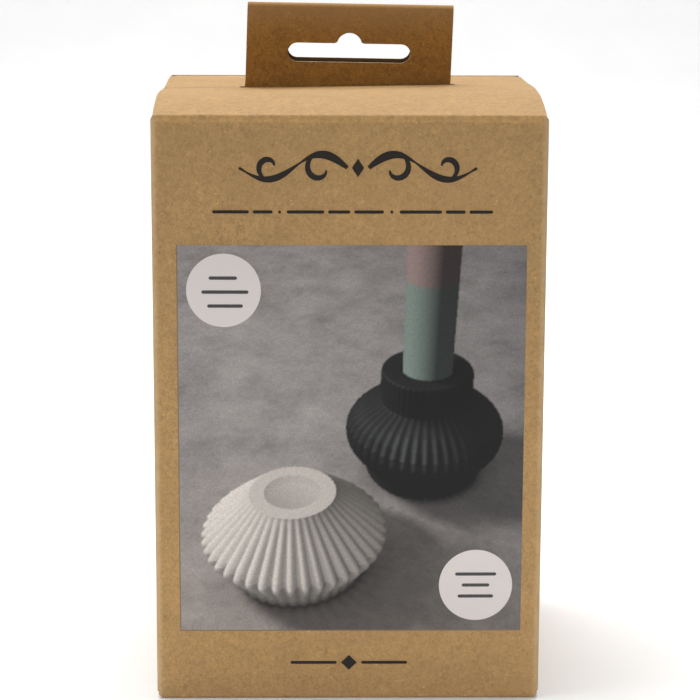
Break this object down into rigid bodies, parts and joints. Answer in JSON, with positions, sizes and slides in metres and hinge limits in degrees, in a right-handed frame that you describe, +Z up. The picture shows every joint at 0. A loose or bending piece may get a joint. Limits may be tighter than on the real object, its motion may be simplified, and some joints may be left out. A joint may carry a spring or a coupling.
{
  "type": "candle holder mould set in a hanging carton",
  "caption": "Upright folding carton with a front-hinged tuck lid and a euro-slot hanging card, holding stacked silicone moulds for fluted candle holders.",
  "frame": {"origin": "middle of the carton's footprint, on its underside", "axes": "+Z up, -Y towards the printed front, +X to the right seen from the front"},
  "size_m": [0.097, 0.088, 0.1716],
  "materials": {
    "kraft_board": "matt uncoated kraft board",
    "dark_kraft_card": "matt darker kraft card",
    "white_silicone": "satin silicone rubber",
    "grey_silicone": "satin silicone rubber"
  },
  "bodies": {
    "carton": {"front_panel": "kraft_board", "back_panel": "kraft_board", "left_side_panel": "kraft_board", "right_side_panel": "kraft_board", "glue_flap": "kraft_board", "bottom_outer_panel": "kraft_board", "bottom_inner_panel": "kraft_board", "bottom_left_flap": "kraft_board", "bottom_right_flap": "kraft_board"},
    "lid": {"lid_panel": "kraft_board"},
    "tuck": {"lid_tuck_flap": "kraft_board"},
    "left_dust": {"left_dust_flap": "kraft_board"},
    "right_dust": {"right_dust_flap": "kraft_board"},
    "hanger": {"hang_front_leaf": "dark_kraft_card", "hang_rear_leaf": "dark_kraft_card", "hang_front_foot": "dark_kraft_card", "hang_rear_foot": "dark_kraft_card"},
    "low_mould": {"low_holder_mould": "white_silicone"},
    "tall_mould": {"tall_holder_mould": "grey_silicone"}
  },
  "joints": [
    {"name": "lid_hinge", "type": "hinge", "parent": "carton", "child": "lid", "pos_m": [0, -0.044, 0.149], "axis": [1, 0, 0], "range_deg": [0, 180]},
    {"name": "tuck_crease", "type": "hinge", "parent": "lid", "child": "tuck", "pos_m": [0, 0.0433, 0.149], "axis": [1, 0, 0], "range_deg": [0, 45]},
    {"name": "left_dust_crease", "type": "hinge", "parent": "carton", "child": "left_dust", "pos_m": [-0.0485, 0, 0.14838], "axis": [0, -1, 0], "range_deg": [0, 90]},
    {"name": "right_dust_crease", "type": "hinge", "parent": "carton", "child": "right_dust", "pos_m": [0.0485, 0, 0.14838], "axis": [0, 1, 0], "range_deg": [0, 90]},
    {"name": "hanger_slide", "type": "slide", "parent": "lid", "child": "hanger", "axis": [0, 0, 1], "range_m": [-0.018, 0]},
    {"name": "low_mould_lift", "type": "slide", "parent": "carton", "child": "low_mould", "axis": [0, 0, 1], "range_m": [0, 0.008]},
    {"name": "tall_mould_lift", "type": "slide", "parent": "low_mould", "child": "tall_mould", "axis": [0, 0, 1], "range_m": [0, 0.022]}
  ],
  "couplings": [
    {"joint": "tuck_crease", "follows": "lid_hinge", "ratio": 0.25},
    {"joint": "left_dust_crease", "follows": "lid_hinge", "ratio": 0.5},
    {"joint": "right_dust_crease", "follows": "lid_hinge", "ratio": 0.5}
  ]
}
